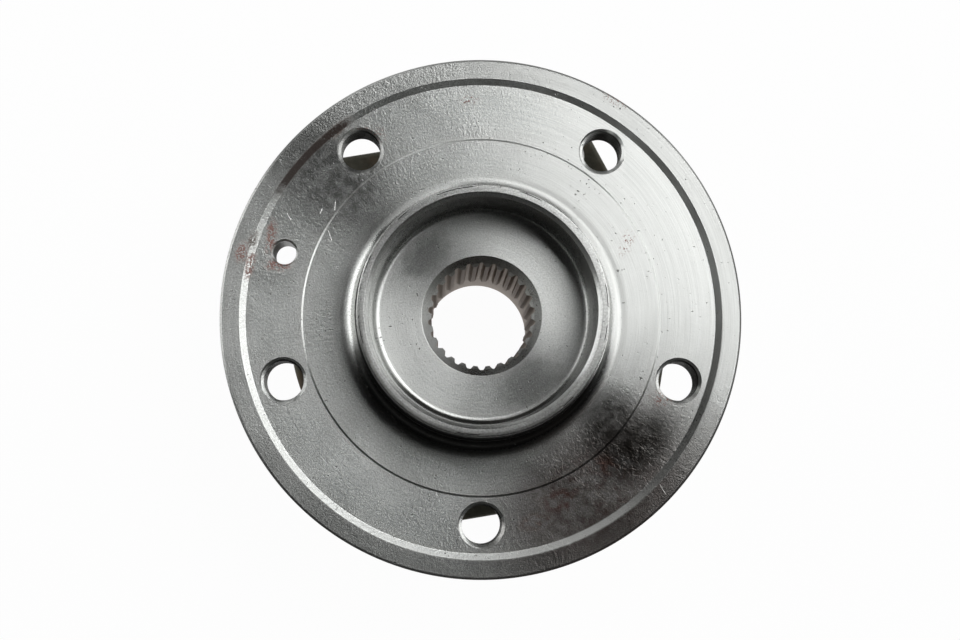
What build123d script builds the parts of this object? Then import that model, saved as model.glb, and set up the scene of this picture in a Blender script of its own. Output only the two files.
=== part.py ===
"""Driven-wheel hub bearing unit: a flanged hub turning in a bolt-on outer ring on two rows of balls.

Millimetres. The origin is the centre of the wheel mounting face, +Z points out of the car along the
axle, and the rectangle of knuckle bolts has its long side along Y. Profiles are lists of
(radius, height) corners turned about Z.
"""

import os
from math import acos, atan2, cos, degrees, hypot, pi, radians, sin, tan

from build123d import *

# Wheel flange
wheel_bolt_circle = 108.0
flange_margin = 14.0  # from the bolt circle to the edge
flange_thickness = 12.5
flange_front_chamfer = 0.6
flange_back_chamfer = 1.2
seat_width = 5.1  # flat rim that the brake disc bears on
seat_bevel_width = 1.6
hole_band_depth = 0.8  # turned relief round the bolt holes
hole_band_inner_margin = 7.6  # from the bolt circle to the inner disc
inner_disc_depth = 0.4
flange_root_rise = 1.5
flange_root_margin = 1.7  # inside the outer ring's body
flange_root_fillet = 3.0

# Holes in the wheel flange
wheel_bolt_count = 5
wheel_bolt_first_angle = 44.5
wheel_bolt_minor_radius = 5.1  # M12 before threading
wheel_bolt_countersink = 1.0
locating_hole_radius = 3.05
locating_hole_countersink = 0.5
locating_hole_angle = 152.5

# Spigot and the cup inside it
pilot_radius = 32.55
pilot_height = 10.5
pilot_fillet = 4.3
spigot_step = 0.5
spigot_taper = 0.35
spigot_height = 19.0
spigot_edge_round = 0.5
rim_width = 1.9
rim_chamfer = 1.0
cup_floor_height = 2.5
cup_draft_angle = 3.0
cup_floor_fillet = 1.8

# Internal involute spline for the drive shaft
spline_teeth = 26
spline_module = 1.0
spline_pressure_angle = 30.0
spline_depth = 1.0
spline_profile_shift = 0.45
spline_first_angle = 80.5
spline_length = 38.5
bore_mouth_chamfer = 1.6
bore_relief_step = 0.5
bore_exit_chamfer = 1.6

# Ball rows
ball_radius = 6.35
pitch_radius = 31.5
balls_per_row = 13
row_spacing = 18.4
contact_angle = 38.0
groove_conformity = 1.04  # groove radius over ball radius
ball_play = 0.06
high_shoulder_angle = 58.0
inner_low_shoulder_angle = 22.0
outer_low_shoulder_angle = 12.0
inboard_row_phase = 0.5  # of the spacing between two balls

# Snap cages
cage_back = 1.2
cage_inner_reach = 1.6
cage_outer_reach = 1.8
cage_horn_reach = 2.6
cage_pocket_play = 0.12
cage_notch_width = 1.2
cage_notch_depth = 3.4

# Hub shaft and pressed-on inner ring
hub_shaft_wall = 6.0  # round the relief behind the spline
seal_land_step = 2.37
neck_fillet = 5.0
inner_ring_seam_offset = 1.5  # outboard of the middle between the rows
inner_ring_chamfer = 1.6
collar_width = 4.9
collar_thickness = 3.7
collar_round = 1.5

# Stationary outer ring
seal_seat_step = 0.79
pilot_wall = 4.5  # round the seal seat
body_wall = 5.2  # round the seal seat
ring_end_gap = 2.5
ring_end_chamfer = 1.5
ear_flange_offset = 8.5  # from the ring's outboard end
ear_flange_thickness = 13.0
ear_flange_step = 8.3  # beyond the ring's body
ear_flange_round = 1.5
ear_body_fillet = 2.0
ear_radius = 9.5
knuckle_bolt_spacing_x = 60.9
knuckle_bolt_spacing_y = 85.0
knuckle_bolt_minor_radius = 5.1
knuckle_bolt_countersink = 1.0
knuckle_relief_width = 1.2  # groove in the seating face round the pilot
knuckle_relief_depth = 0.5

# Seals
outboard_seal_width = 4.5
inboard_seal_width = 4.5
seal_seat_gap = 0.15
seal_to_cage_gap = 0.3
seal_sheet = 0.8
seal_rubber = 0.9
lip_reach = 2.1  # from the seal land out to the moulded rubber
lip_play = 0.08
lip_root_width = 1.0
lip_tip_width = 0.35
slinger_sheet = 0.6
slinger_play = 0.8
encoder_width = 6.4
encoder_thickness = 0.9

# Radii that follow from the sizes above
flange_radius = wheel_bolt_circle / 2 + flange_margin
seat_inner_radius = flange_radius - seat_width
inner_disc_radius = wheel_bolt_circle / 2 - hole_band_inner_margin
spigot_tip_radius = pilot_radius - spigot_step - spigot_taper
rim_inner_radius = spigot_tip_radius - rim_width
spline_tip_radius = spline_module * spline_teeth / 2
spline_root_radius = spline_tip_radius + spline_depth
bore_mouth_radius = spline_root_radius + bore_mouth_chamfer
bore_relief_radius = spline_root_radius + bore_relief_step
bore_exit_radius = bore_relief_radius + bore_exit_chamfer
inner_ring_bore_radius = bore_relief_radius + hub_shaft_wall
collar_radius = inner_ring_bore_radius + collar_width
inner_high_shoulder = pitch_radius - ball_radius * cos(radians(high_shoulder_angle))
inner_low_shoulder = pitch_radius - ball_radius * cos(radians(inner_low_shoulder_angle))
outer_high_shoulder = pitch_radius + ball_radius * cos(radians(high_shoulder_angle))
outer_low_shoulder = pitch_radius + ball_radius * cos(radians(outer_low_shoulder_angle))
seal_land_radius = inner_high_shoulder + seal_land_step
seal_seat_radius = outer_low_shoulder + seal_seat_step
seal_rubber_inner_radius = seal_land_radius + lip_reach
seal_web_inner_radius = seal_rubber_inner_radius + seal_rubber
slinger_flange_radius = seal_seat_radius - seal_sheet - slinger_play
knuckle_pilot_radius = seal_seat_radius + pilot_wall
ring_body_radius = seal_seat_radius + body_wall
ear_flange_radius = ring_body_radius + ear_flange_step
flange_root_radius = ring_body_radius - flange_root_margin

# Heights that follow from the sizes above, going inboard from the wheel face
flange_back = -flange_thickness
flange_root = flange_back - flange_root_rise
ring_front = flange_root - ring_end_gap
outboard_seal_floor = ring_front - outboard_seal_width
outboard_row = outboard_seal_floor - seal_to_cage_gap - cage_back - ball_radius
inboard_row = outboard_row - row_spacing
row_middle = (outboard_row + inboard_row) / 2
inboard_seal_floor = inboard_row - ball_radius - cage_back - seal_to_cage_gap
ring_back = inboard_seal_floor - inboard_seal_width
inner_ring_front = row_middle + inner_ring_seam_offset
hub_end = ring_back - collar_thickness
ear_flange_front = ring_front - ear_flange_offset
ear_flange_back = ear_flange_front - ear_flange_thickness
spline_end = cup_floor_height - spline_length


def polar(radius, angle):
    """Point at an angle in degrees."""
    return (radius * cos(radians(angle)), radius * sin(radians(angle)))


def section(corners, rounds=()):
    """Flat (radius, height) section; rounds pairs a corner with the radius that rounds it."""
    flat = Sketch() + make_face(Polyline(*corners, close=True))
    for corner, radius in rounds:
        flat = fillet(flat.vertices().sort_by_distance(corner)[0], radius)
    return flat


def turned(flat):
    """A (radius, height) section turned about Z."""
    return revolve(Plane.XZ * flat, Axis.Z)


def hole_cutter(radius, sink, top, bottom):
    """Drill with a 45 degree countersink at both mouths."""
    clear = 1.0
    outline = [
        (0, top + clear),
        (radius + sink, top + clear),
        (radius + sink, top),
        (radius, top - sink),
        (radius, bottom + sink),
        (radius + sink, bottom),
        (radius + sink, bottom - clear),
        (0, bottom - clear),
    ]
    return turned(section(outline))


def raceway(row, outward, side):
    """Torus that grinds a ball groove.

    outward is 1 in the outer ring and -1 on the inner rings; side is 1 on the outboard row and -1 inboard.
    """
    groove_radius = ball_radius * groove_conformity
    shift = groove_radius - ball_radius - ball_play
    across = outward * shift * cos(radians(contact_angle))
    along = outward * side * shift * sin(radians(contact_angle))
    return Pos(0, 0, row + along) * Torus(pitch_radius - across, groove_radius)


def spline_space():
    """One tooth space of the internal spline, with involute flanks."""
    pitch = spline_tip_radius
    pressure = radians(spline_pressure_angle)
    base = pitch * cos(pressure)
    space = spline_module * (pi / 2 + 2 * spline_profile_shift * tan(pressure))

    def flank(radius):
        reach = acos(base / radius)
        half = space / (2 * pitch) + (tan(pressure) - pressure) - (tan(reach) - reach)
        return polar(radius, degrees(half))

    inside = pitch - spline_module / 2
    middle = (inside + spline_root_radius) / 2
    right = [flank(radius) for radius in (inside, middle, spline_root_radius)]
    left = [(x, -y) for x, y in right]
    outline = [
        ThreePointArc(*left),
        ThreePointArc(left[2], (spline_root_radius, 0), right[2]),
        ThreePointArc(*reversed(right)),
        Line(right[0], left[0]),
    ]
    return make_face(Curve() + outline)


def hub_flange():
    """Forged hub: wheel flange, spigot, raceway, splined bore and the collar rolled over the inner ring."""
    cup_top = rim_inner_radius - rim_chamfer
    cup_bottom = cup_top - (spigot_height - rim_chamfer - cup_floor_height) * tan(radians(cup_draft_angle))
    run_out = bore_relief_radius - spline_tip_radius
    bevel_inner = seat_inner_radius - seat_bevel_width
    pilot_base = (pilot_radius, -inner_disc_depth)
    cup_corner = (cup_bottom, cup_floor_height)
    spigot_edge = (spigot_tip_radius, spigot_height)
    neck_corner = (seal_land_radius, flange_root)
    root_corner = (flange_root_radius + flange_root_rise, flange_back)
    collar_edge = (collar_radius, hub_end)
    outline = [
        (flange_radius - flange_front_chamfer, 0),
        (seat_inner_radius, 0),
        (bevel_inner, -hole_band_depth),
        (inner_disc_radius, -hole_band_depth),
        (inner_disc_radius, -inner_disc_depth),
        pilot_base,
        (pilot_radius, pilot_height),
        (pilot_radius - spigot_step, pilot_height),
        spigot_edge,
        (rim_inner_radius, spigot_height),
        (cup_top, spigot_height - rim_chamfer),
        cup_corner,
        (bore_mouth_radius, cup_floor_height),
        (spline_tip_radius, cup_floor_height - (bore_mouth_radius - spline_tip_radius)),
        (spline_tip_radius, spline_end),
        (bore_relief_radius, spline_end - run_out),
        (bore_relief_radius, hub_end + bore_exit_chamfer),
        (bore_exit_radius, hub_end),
        collar_edge,
        (collar_radius, ring_back),
        (inner_ring_bore_radius + inner_ring_chamfer, ring_back),
        (inner_ring_bore_radius, ring_back + inner_ring_chamfer),
        (inner_ring_bore_radius, inner_ring_front),
        (inner_low_shoulder, inner_ring_front),
        (inner_low_shoulder, outboard_row),
        (inner_high_shoulder, outboard_row),
        (inner_high_shoulder, outboard_seal_floor),
        (seal_land_radius, outboard_seal_floor),
        neck_corner,
        (flange_root_radius, flange_root),
        root_corner,
        (flange_radius - flange_back_chamfer, flange_back),
        (flange_radius, flange_back + flange_back_chamfer),
        (flange_radius, -flange_front_chamfer),
    ]
    rounds = [
        (pilot_base, pilot_fillet),
        (cup_corner, cup_floor_fillet),
        (spigot_edge, spigot_edge_round),
        (neck_corner, neck_fillet),
        (root_corner, flange_root_fillet),
        (collar_edge, collar_round),
    ]
    hub = turned(section(outline, rounds)) - raceway(outboard_row, -1, 1)
    space = extrude(spline_space(), run_out + spline_length + 1)
    hub -= [
        Pos(0, 0, spline_end - run_out) * place * space
        for place in PolarLocations(0, spline_teeth, spline_first_angle)
    ]
    mouth = -hole_band_depth
    bolt_hole = hole_cutter(wheel_bolt_minor_radius, wheel_bolt_countersink, mouth, flange_back)
    hub -= PolarLocations(wheel_bolt_circle / 2, wheel_bolt_count, wheel_bolt_first_angle) * bolt_hole
    pin_hole = hole_cutter(locating_hole_radius, locating_hole_countersink, mouth, flange_back)
    return hub - Pos(*polar(wheel_bolt_circle / 2, locating_hole_angle)) * pin_hole


def inner_ring():
    """Ring pressed on the hub shaft that carries the inboard raceway."""
    outline = [
        (inner_ring_bore_radius, inner_ring_front),
        (inner_low_shoulder, inner_ring_front),
        (inner_low_shoulder, inboard_row),
        (inner_high_shoulder, inboard_row),
        (inner_high_shoulder, ring_back),
        (inner_ring_bore_radius + inner_ring_chamfer, ring_back),
        (inner_ring_bore_radius, ring_back + inner_ring_chamfer),
    ]
    return turned(section(outline)) - raceway(inboard_row, -1, -1)


def ear(x, y):
    """Flange ear round one knuckle bolt, running tangent into the round of the flange."""
    flank = degrees(acos((ear_flange_radius - ear_radius) / hypot(x, y)))
    middle = degrees(atan2(y, x))
    on_flange = [polar(ear_flange_radius, middle + turn) for turn in (-flank, flank)]
    on_ear = [Vector(x, y) + Vector(*polar(ear_radius, middle + turn)) for turn in (flank, -flank)]
    return make_face(Polyline(*on_flange, *on_ear, close=True)) + Pos(x, y) * Circle(ear_radius)


def outer_ring():
    """Stationary ring: four-eared knuckle flange, pilot, seal seats and both outer raceways."""
    bolts = [
        (x * knuckle_bolt_spacing_x / 2, y * knuckle_bolt_spacing_y / 2)
        for x in (-1, 1)
        for y in (-1, 1)
    ]
    plate = extrude(Circle(ear_flange_radius) + [ear(x, y) for x, y in bolts], ear_flange_thickness)
    plate = fillet(plate.faces().sort_by(Axis.Z)[-1].edges(), ear_flange_round)
    body_outline = [
        (knuckle_pilot_radius - ring_end_chamfer, ring_back),
        (knuckle_pilot_radius, ring_back + ring_end_chamfer),
        (knuckle_pilot_radius, ear_flange_back),
        (ring_body_radius + ear_body_fillet, ear_flange_back),
        (ring_body_radius + ear_body_fillet, ear_flange_front),
        (ring_body_radius, ear_flange_front),
        (ring_body_radius, ring_front - ring_end_chamfer),
        (ring_body_radius - ring_end_chamfer, ring_front),
        (0, ring_front),
        (0, ring_back),
    ]
    relief_outline = [
        (knuckle_pilot_radius, ear_flange_back - 1),
        (knuckle_pilot_radius, ear_flange_back + knuckle_relief_depth),
        (knuckle_pilot_radius + knuckle_relief_width, ear_flange_back + knuckle_relief_depth),
        (knuckle_pilot_radius + knuckle_relief_width, ear_flange_back - 1),
    ]
    bore_outline = [
        (0, ring_front + 1),
        (seal_seat_radius, ring_front + 1),
        (seal_seat_radius, outboard_seal_floor),
        (outer_low_shoulder, outboard_seal_floor),
        (outer_low_shoulder, outboard_row),
        (outer_high_shoulder, outboard_row),
        (outer_high_shoulder, inboard_row),
        (outer_low_shoulder, inboard_row),
        (outer_low_shoulder, inboard_seal_floor),
        (seal_seat_radius, inboard_seal_floor),
        (seal_seat_radius, ring_back - 1),
        (0, ring_back - 1),
    ]
    ring = turned(section(body_outline)) + Pos(0, 0, ear_flange_back) * plate
    front_edges = ring.edges().filter_by_position(Axis.Z, ear_flange_front, ear_flange_front)
    ring = fillet(front_edges.sort_by(SortBy.DISTANCE)[0], ear_body_fillet)
    ring -= turned(section(relief_outline))
    ring -= turned(section(bore_outline))
    ring -= raceway(outboard_row, 1, 1)
    ring -= raceway(inboard_row, 1, -1)
    sink = knuckle_bolt_countersink
    bolt_hole = hole_cutter(knuckle_bolt_minor_radius, sink, ear_flange_front, ear_flange_back)
    return ring - [Pos(x, y) * bolt_hole for x, y in bolts]


def ball_centres(row, phase):
    """Ball centres of a row; phase is a share of the spacing."""
    spacing = 360 / balls_per_row
    return [(*polar(pitch_radius, (k + phase) * spacing), row) for k in range(balls_per_row)]


def snap_cage(row, side, phase):
    """Moulded crown cage: a ring behind the balls and two horns round each; side is 1 on the outboard row."""
    back = row + side * (ball_radius + cage_back)
    open_end = row - side * cage_horn_reach
    inner = pitch_radius - cage_inner_reach
    outer = pitch_radius + cage_outer_reach
    cage = turned(section([(inner, back), (outer, back), (outer, open_end), (inner, open_end)]))
    cage -= [Pos(*centre) * Sphere(ball_radius + cage_pocket_play) for centre in ball_centres(row, phase)]
    notch = Box(4 * cage_outer_reach, cage_notch_width, 2 * cage_notch_depth)
    spacing = 360 / balls_per_row
    between = PolarLocations(pitch_radius, balls_per_row, (phase + 0.5) * spacing)
    return cage - [Pos(0, 0, open_end) * place * notch for place in between]


def lip(root, tip):
    """Section of one tapering seal lip from its root to the edge that runs on the hub."""
    run = Vector(*tip) - Vector(*root)
    aside = run.normalized().rotate(Axis.Z, 90)
    corners = [
        Vector(*root) + aside * (lip_root_width / 2),
        Vector(*root) - aside * (lip_root_width / 2),
        Vector(*tip) - aside * (lip_tip_width / 2),
        Vector(*tip) + aside * (lip_tip_width / 2),
    ]
    return make_face(Polyline(*corners, close=True))


def seal_core(mouth, floor, side):
    """Pressed-steel seal case: a sleeve in the outer ring and a web on the ball side; side is 1 outboard."""
    sleeve_end = mouth - side * seal_seat_gap
    web_back = floor + side * seal_seat_gap
    web_front = web_back + side * seal_sheet
    outline = [
        (seal_seat_radius, sleeve_end),
        (seal_seat_radius, web_back),
        (seal_web_inner_radius, web_back),
        (seal_web_inner_radius, web_front),
        (seal_seat_radius - seal_sheet, web_front),
        (seal_seat_radius - seal_sheet, sleeve_end),
    ]
    return turned(section(outline))


def seal_rubber_base(floor, side):
    """Section of the rubber moulded on the web of a seal case and round its inner edge."""
    web_back = floor + side * seal_seat_gap
    web_front = web_back + side * seal_sheet
    top = web_front + side * seal_rubber
    outline = [
        (seal_seat_radius - seal_sheet, web_front),
        (seal_web_inner_radius, web_front),
        (seal_web_inner_radius, web_back),
        (seal_rubber_inner_radius, web_back),
        (seal_rubber_inner_radius, top),
        (seal_seat_radius - seal_sheet, top),
    ]
    return section(outline)


def outboard_seal_lips():
    """Three lips: one on the flange root, one in the neck fillet and one on the seal land."""
    web_back = outboard_seal_floor + seal_seat_gap
    top = web_back + seal_sheet + seal_rubber
    middle = (web_back + top) / 2
    reach = (neck_fillet - lip_play - lip_tip_width / 2) * cos(radians(45))
    fillet_centre = (seal_land_radius + neck_fillet, flange_root - neck_fillet)
    face_tip = (fillet_centre[0] + 2 * lip_root_width, flange_root - lip_play - lip_tip_width / 2)
    fillet_tip = (fillet_centre[0] - reach, fillet_centre[1] + reach)
    land_tip = (seal_land_radius + lip_play + lip_tip_width / 2, web_back + lip_tip_width)
    root = seal_rubber_inner_radius + lip_root_width / 2
    flat = seal_rubber_base(outboard_seal_floor, 1)
    flat += lip((fillet_centre[0], top - lip_root_width / 2), face_tip)
    flat += lip((root, top - lip_root_width / 2), fillet_tip)
    flat += lip((root, middle), land_tip)
    return turned(flat)


def inboard_seal_lips():
    """Three lips that run on the slinger: two on its sleeve and one on its flange."""
    web_back = inboard_seal_floor - seal_seat_gap
    top = web_back - seal_sheet - seal_rubber
    sleeve = inner_high_shoulder + slinger_sheet + lip_play + lip_tip_width / 2
    flange = ring_back + 2 * seal_seat_gap + slinger_sheet + lip_play + lip_tip_width / 2
    root = seal_rubber_inner_radius + lip_root_width / 2
    flat = seal_rubber_base(inboard_seal_floor, -1)
    flat += lip((root, web_back - lip_root_width / 2), (sleeve, web_back - lip_tip_width))
    flat += lip((root, top + lip_root_width / 2), (sleeve, top))
    flat += lip((root + lip_root_width, top + lip_root_width / 2), (root + 2 * lip_root_width, flange))
    return turned(flat)


def inboard_slinger():
    """Stainless slinger pressed on the inner ring, closing the inboard seal."""
    face = ring_back + seal_seat_gap
    inside = face + slinger_sheet
    sleeve_end = inboard_seal_floor - seal_seat_gap
    outline = [
        (inner_high_shoulder, face),
        (slinger_flange_radius, face),
        (slinger_flange_radius, inside),
        (inner_high_shoulder + slinger_sheet, inside),
        (inner_high_shoulder + slinger_sheet, sleeve_end),
        (inner_high_shoulder, sleeve_end),
    ]
    return turned(section(outline))


def magnetic_encoder():
    """Magnetised rubber ring bonded on the slinger, read by the wheel-speed sensor."""
    back = ring_back + seal_seat_gap
    outline = [
        (slinger_flange_radius - encoder_width, back),
        (slinger_flange_radius, back),
        (slinger_flange_radius, back - encoder_thickness),
        (slinger_flange_radius - encoder_width, back - encoder_thickness),
    ]
    return turned(section(outline))


def all_parts():
    """Every sub-part by its node name."""
    parts = {
        "outer_ring": outer_ring(),
        "hub_flange": hub_flange(),
        "inner_ring": inner_ring(),
        "outboard_cage": snap_cage(outboard_row, 1, 0),
        "inboard_cage": snap_cage(inboard_row, -1, inboard_row_phase),
        "outboard_seal_case": seal_core(ring_front, outboard_seal_floor, 1),
        "outboard_seal_lips": outboard_seal_lips(),
        "inboard_seal_case": seal_core(ring_back, inboard_seal_floor, -1),
        "inboard_seal_lips": inboard_seal_lips(),
        "inboard_slinger": inboard_slinger(),
        "magnetic_encoder": magnetic_encoder(),
    }
    rows = {
        "outboard": ball_centres(outboard_row, 0),
        "inboard": ball_centres(inboard_row, inboard_row_phase),
    }
    for name, centres in rows.items():
        for number, centre in enumerate(centres, 1):
            parts[f"{name}_ball_{number:02d}"] = Pos(*centre) * Sphere(ball_radius)
    return parts


os.makedirs("parts", exist_ok=True)
for node, solid in all_parts().items():
    export_step(solid, f"parts/{node}.step")
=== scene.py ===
from math import acos, atan2, cos, degrees, pi, radians, sin, sqrt, tan

import bmesh
import bpy
from mathutils import Matrix, Vector


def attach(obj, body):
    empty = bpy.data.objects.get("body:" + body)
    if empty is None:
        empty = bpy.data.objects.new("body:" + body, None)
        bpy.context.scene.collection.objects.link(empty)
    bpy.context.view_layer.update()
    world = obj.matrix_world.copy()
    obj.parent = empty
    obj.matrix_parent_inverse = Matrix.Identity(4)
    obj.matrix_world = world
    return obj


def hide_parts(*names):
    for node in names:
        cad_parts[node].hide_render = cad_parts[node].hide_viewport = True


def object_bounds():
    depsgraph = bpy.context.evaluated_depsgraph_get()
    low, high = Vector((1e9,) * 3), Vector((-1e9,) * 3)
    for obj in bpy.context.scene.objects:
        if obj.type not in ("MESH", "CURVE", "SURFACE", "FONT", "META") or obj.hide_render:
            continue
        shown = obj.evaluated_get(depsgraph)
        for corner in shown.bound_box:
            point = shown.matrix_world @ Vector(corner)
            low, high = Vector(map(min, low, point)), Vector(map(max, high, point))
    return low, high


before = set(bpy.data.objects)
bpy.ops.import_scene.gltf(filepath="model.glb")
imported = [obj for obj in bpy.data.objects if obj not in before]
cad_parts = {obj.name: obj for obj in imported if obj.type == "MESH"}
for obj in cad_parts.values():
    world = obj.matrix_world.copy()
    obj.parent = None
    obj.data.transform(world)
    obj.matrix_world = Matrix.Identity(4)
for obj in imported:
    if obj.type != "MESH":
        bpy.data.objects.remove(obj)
cad_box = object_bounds()

# The bench: a white sheet that runs out of sight under the bearing, with a tall soft box on
# either side of it, and the camera above the wheel face. Each lamp is given as its bearing
# round the axle, its tilt from straight overhead, its sides in metres and its brightness.
mm = 0.001
sheet_radius = 0.26
sheet_glow = 0.97
lamp_distance = 1.3
soft_boxes = {
    "right_box": (29, 27, 0.60, 1.10, 3.6),
    "low_right_box": (9, 63, 1.05, 1.25, 1.6),
    "back_box": (84, 42, 0.60, 0.60, 0.45),
    "low_back_box": (106, 64, 0.80, 0.80, 1.0),
    "left_box": (155, 71, 0.75, 1.10, 2.7),
}

bpy.ops.object.select_all(action="DESELECT")
bpy.ops.mesh.primitive_circle_add(
    vertices=96, radius=sheet_radius, fill_type="TRIFAN", location=(0, 0, cad_box[0].z)
)
sheet = bpy.context.object
sheet.name = "white_sheet"

for name, (bearing, tilt, width, height, brightness) in soft_boxes.items():
    lamp = bpy.data.lights.new(name, "AREA")
    lamp.shape, lamp.size, lamp.size_y = "RECTANGLE", width, height
    lamp.energy = brightness * pi * width * height
    box = bpy.data.objects.new(name, lamp)
    bpy.context.scene.collection.objects.link(box)
    turned_to = Matrix.Rotation(radians(bearing), 4, "Z") @ Matrix.Rotation(radians(tilt), 4, "Y")
    box.matrix_world = turned_to @ Matrix.Translation((0, 0, lamp_distance))

camera_turns = ((9.5, "Z"), (1.50, "Y"), (-4.87, "X"))
camera_height = 0.450
sensor_width, focal_length = 36.0, 64.86
camera_aim = Vector((0.39, 0.92, 0)) * mm
part_turn = Matrix.Identity(3)
for angle, axis in camera_turns:
    part_turn = Matrix.Rotation(radians(angle), 3, axis) @ part_turn
camera = bpy.data.objects.new("camera", bpy.data.cameras.new("camera"))
camera.data.sensor_width, camera.data.lens = sensor_width, focal_length
bpy.context.scene.collection.objects.link(camera)
camera_place = part_turn.transposed() @ (Vector((0, 0, camera_height)) - camera_aim)
camera.matrix_world = Matrix.Translation(camera_place) @ part_turn.transposed().to_4x4()
bpy.context.scene.camera = camera
bpy.context.scene.view_settings.view_transform = "Standard"


class Signal:
    """A value or colour on its way through a material. Arithmetic on it adds the nodes for it."""

    def __init__(self, nodes, socket):
        self.maths, self.socket = nodes.maths, socket

    def __add__(self, other):
        return self.maths("ADD", self, other)

    def __radd__(self, other):
        return self.maths("ADD", other, self)

    def __sub__(self, other):
        return self.maths("SUBTRACT", self, other)

    def __rsub__(self, other):
        return self.maths("SUBTRACT", other, self)

    def __mul__(self, other):
        return self.maths("MULTIPLY", self, other)

    def __rmul__(self, other):
        return self.maths("MULTIPLY", other, self)

    def __truediv__(self, other):
        return self.maths("DIVIDE", self, other)

    def __pow__(self, other):
        return self.maths("POWER", self, other)


class Nodes:
    """Adds nodes to a node tree and gives back what comes out of them."""

    def __init__(self, tree):
        self.tree = tree

    def node(self, kind, settings=None, sockets=None, output=0):
        """Adds a node with its settings, then the values or links of its sockets."""
        made = self.tree.nodes.new(kind)
        for setting, value in (settings or {}).items():
            setattr(made, setting, value)
        for socket, value in (sockets or {}).items():
            if isinstance(value, Signal):
                self.tree.links.new(value.socket, made.inputs[socket])
            else:
                made.inputs[socket].default_value = value
        return Signal(self, made.outputs[output])

    def maths(self, operation, *values):
        return self.node("ShaderNodeMath", {"operation": operation}, dict(enumerate(values)))

    def split(self, vector):
        parts = self.node("ShaderNodeSeparateXYZ", sockets={0: vector})
        return [Signal(self, socket) for socket in parts.socket.node.outputs]

    def ease(self, value, start, end, low=0.0, high=1.0):
        """Goes smoothly from low to high as the value goes from start to end."""
        sockets = {"Value": value, "From Min": start, "From Max": end}
        sockets.update({"To Min": low, "To Max": high})
        return self.node("ShaderNodeMapRange", {"interpolation_type": "SMOOTHSTEP"}, sockets)

    def between(self, value, rise, fall):
        """Goes smoothly up to 1 over the span rise and back to 0 over the span fall."""
        return self.ease(value, *fall[::-1]) * self.ease(value, *rise)


class Finish(Nodes):
    """A surface finish: one Principled shader, with its patterns in millimetres on the piece."""

    def __init__(self, name, **constants):
        self.material = bpy.data.materials.new(name)
        self.material.use_nodes = True
        super().__init__(self.material.node_tree)
        self.tree.nodes.clear()
        self.shader = self.tree.nodes.new("ShaderNodeBsdfPrincipled")
        self.output = self.tree.nodes.new("ShaderNodeOutputMaterial")
        self.tree.links.new(self.shader.outputs[0], self.output.inputs["Surface"])
        for socket, value in constants.items():
            self.shader.inputs[socket.replace("_", " ")].default_value = value
        place = self.node("ShaderNodeTexCoord", output="Object")
        sockets = {0: place, "Scale": 1 / mm}
        self.place = self.node("ShaderNodeVectorMath", {"operation": "SCALE"}, sockets)
        self.x, self.y, self.z = self.split(self.place)
        self.radius = (self.x * self.x + self.y * self.y) ** 0.5

    def from_axis(self, x, y):
        """Distance from an upright axis through this place."""
        off_x, off_y = self.x - x, self.y - y
        return (off_x * off_x + off_y * off_y) ** 0.5

    def point(self, x, y, z):
        return self.node("ShaderNodeCombineXYZ", sockets={0: x, 1: y, 2: z})

    def noise(self, at, size, detail=2.0, roughness=0.5, warp=0.0):
        """Cloudy values from 0 to 1 whose lumps are about size across."""
        sockets = {"Vector": at, "Scale": 1 / size, "Detail": detail, "Roughness": roughness}
        return self.node("ShaderNodeTexNoise", sockets={**sockets, "Distortion": warp})

    def turned(self, width, arc):
        """Place along the marks of a lathe tool, width millimetres apart and arc radians long."""
        across = (self.radius + self.z) / width
        return self.point(across, self.x / self.radius / arc, self.y / self.radius / arc)

    def blend(self, share, first, second):
        """Mixes two colours."""
        made = self.node("ShaderNodeMix", {"data_type": "RGBA"}, {"Factor": share}, output="Result")
        node = made.socket.node
        colours = [socket for socket in node.inputs if socket.type == "RGBA"]
        for socket, value in zip(colours, (first, second)):
            if isinstance(value, Signal):
                self.tree.links.new(value.socket, socket)
            else:
                socket.default_value = value
        return Signal(self, next(socket for socket in node.outputs if socket.type == "RGBA"))

    def bump(self, height, depth=1.0):
        """Raises the surface by up to depth millimetres where height is 1."""
        sockets = {"Height": height, "Distance": depth * mm}
        self.set("Normal", self.node("ShaderNodeBump", sockets=sockets))

    def set(self, socket, value):
        self.tree.links.new(value.socket, self.shader.inputs[socket])


# White coated paper. It glows at plain white towards the camera and in the metal, and what is
# left of it is a matt surface that takes the bearing's shadow. From underneath it isn't there.
paper = Finish("white_paper", Base_Color=(0.9, 0.9, 0.9, 1), Roughness=0.8)
seen = 0.0
for ray in ("Is Camera Ray", "Is Glossy Ray", "Is Transmission Ray"):
    seen = seen + paper.node("ShaderNodeLightPath", output=ray)
matt = Signal(paper, paper.shader.outputs[0])
glow = paper.node("ShaderNodeEmission", sockets={"Color": (1, 1, 1, 1), "Strength": 1.0})
lit = paper.node("ShaderNodeMixShader", sockets={0: seen * sheet_glow, 1: matt, 2: glow})
from_under = paper.node("ShaderNodeNewGeometry", output="Backfacing")
clear = paper.node("ShaderNodeBsdfTransparent")
one_sided = paper.node("ShaderNodeMixShader", sockets={0: from_under, 1: lit, 2: clear})
paper.tree.links.new(one_sided.socket, paper.output.inputs["Surface"])
sheet.data.materials.append(paper.material)

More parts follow.
